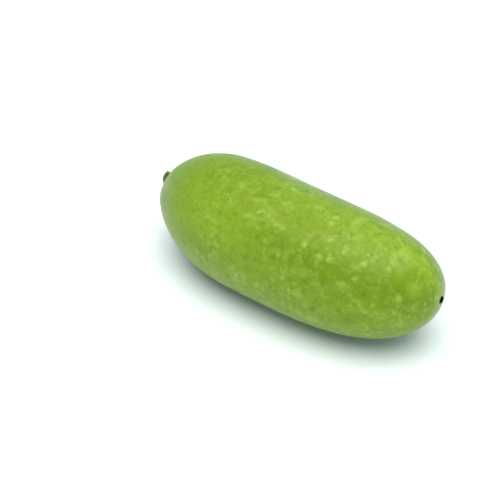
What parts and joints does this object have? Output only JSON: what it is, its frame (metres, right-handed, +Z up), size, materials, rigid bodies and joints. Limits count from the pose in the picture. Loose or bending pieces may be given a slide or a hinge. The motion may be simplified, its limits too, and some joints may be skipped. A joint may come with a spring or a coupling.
{
  "type": "winter melon",
  "caption": "Young oblong winter melon lying on its belly, slightly bowed, with a cut stub of stalk at one end and a dried blossom scar at the other.",
  "frame": {"origin": "on the surface that the melon lies on, under the middle of its bounding box", "axes": "+X along the melon towards the blossom scar, with the stalk at -X; +Z up; the melon bows towards -Y"},
  "size_m": [0.309, 0.1162, 0.1141],
  "materials": {
    "rind": "yellow-green living rind, soft satin wax over it, pale green flecks and fine dark mottling",
    "stalk": "ribbed dark green stalk drying to olive brown, with a corky cut end",
    "scar": "rough, nearly black, dried remains of the flower"
  },
  "bodies": {
    "root": {"fruit": "rind", "stalk": "stalk", "blossom_scar": "scar"}
  },
  "joints": []
}
